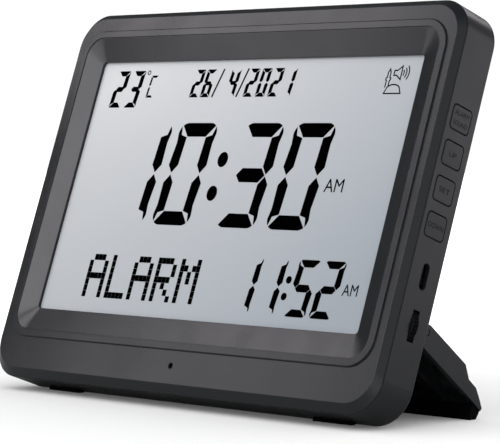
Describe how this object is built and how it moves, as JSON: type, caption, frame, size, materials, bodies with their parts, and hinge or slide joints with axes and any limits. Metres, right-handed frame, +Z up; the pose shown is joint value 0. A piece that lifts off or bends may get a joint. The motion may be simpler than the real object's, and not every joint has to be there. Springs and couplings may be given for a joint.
{
  "type": "azan clock",
  "caption": "Leaning desk clock with a wide digital display, side keys, a thumbwheel, a charging port and a fold-out stand leg.",
  "frame": {"origin": "middle of the footprint, on the surface the clock stands on", "axes": "+Z up, -Y towards the person who reads the display, +X to that person's right"},
  "size_m": [0.2012, 0.0654, 0.1447],
  "materials": {
    "bezel_plastic": "satin charcoal moulded plastic",
    "case_plastic": "satin charcoal moulded plastic",
    "leg_plastic": "satin charcoal moulded plastic",
    "key_plastic": "satin charcoal moulded plastic",
    "wheel_plastic": "black moulded plastic",
    "display": "grey reflective liquid crystal glass",
    "diffuser": "milky light guide",
    "white_plastic": "white moulded plastic",
    "contact_rubber": "silicone contact strip and tape",
    "board": "green solder mask",
    "chip": "black epoxy",
    "sensor": "dark clear epoxy",
    "can": "printed can",
    "steel": "nickel plated steel",
    "black_steel": "black zinc plated screws",
    "switch_plastic": "black switch plastic",
    "paper": "black pressed paper cone",
    "magnet": "ferrite magnet",
    "foil": "laminated foil pouch",
    "rubber": "black rubber"
  },
  "bodies": {
    "case": {"front_bezel": "bezel_plastic", "rear_housing": "case_plastic", "display_glass": "display", "light_guide": "diffuser", "display_holder": "white_plastic", "contact_strip": "contact_rubber", "main_board": "board", "board_screws": "steel", "clock_chip": "chip", "sound_chip": "chip", "charge_chip": "chip", "memory_chip": "chip", "cell_socket": "white_plastic", "speaker_socket": "white_plastic", "quartz_crystal": "steel", "reservoir_capacitor": "can", "backlight_lamp": "diffuser", "temperature_sensor": "chip", "light_sensor": "sensor", "port_shell": "steel", "port_tongue": "chip", "volume_base": "chip", "wheel_rivet": "steel", "key_switches": "switch_plastic", "speaker_basket": "steel", "speaker_cone": "paper", "speaker_magnet": "magnet", "power_cell": "foil", "cell_tape": "contact_rubber", "case_screws": "black_steel", "leg_pin_left": "leg_plastic", "leg_pin_right": "leg_plastic", "base_feet": "rubber"},
    "alarm_key": {"alarm_key": "key_plastic", "alarm_switch_stem": "switch_plastic"},
    "up_key": {"up_key": "key_plastic", "up_switch_stem": "switch_plastic"},
    "set_key": {"set_key": "key_plastic", "set_switch_stem": "switch_plastic"},
    "down_key": {"down_key": "key_plastic", "down_switch_stem": "switch_plastic"},
    "volume_wheel": {"volume_wheel": "wheel_plastic"},
    "leg": {"stand_leg": "leg_plastic", "leg_pad": "rubber"}
  },
  "joints": [
    {"name": "alarm_press", "type": "slide", "parent": "case", "child": "alarm_key", "axis": [-1, 0, 0], "range_m": [0, 0.0005], "stiffness_N_per_m": 1800, "springref_m": -0.0005},
    {"name": "up_press", "type": "slide", "parent": "case", "child": "up_key", "axis": [-1, 0, 0], "range_m": [0, 0.0005], "stiffness_N_per_m": 1800, "springref_m": -0.0005},
    {"name": "set_press", "type": "slide", "parent": "case", "child": "set_key", "axis": [-1, 0, 0], "range_m": [0, 0.0005], "stiffness_N_per_m": 1800, "springref_m": -0.0005},
    {"name": "down_press", "type": "slide", "parent": "case", "child": "down_key", "axis": [-1, 0, 0], "range_m": [0, 0.0005], "stiffness_N_per_m": 1800, "springref_m": -0.0005},
    {"name": "volume_turn", "type": "hinge", "parent": "case", "child": "volume_wheel", "pos_m": [0.09258, -0.01281, 0.03441], "axis": [0, 0.9426, -0.3338], "range_deg": [-140, 140]},
    {"name": "leg_fold", "type": "hinge", "parent": "case", "child": "leg", "pos_m": [-0.00057, -0.00186, 0.03149], "axis": [1, 0, 0], "range_deg": [0, 107]}
  ]
}
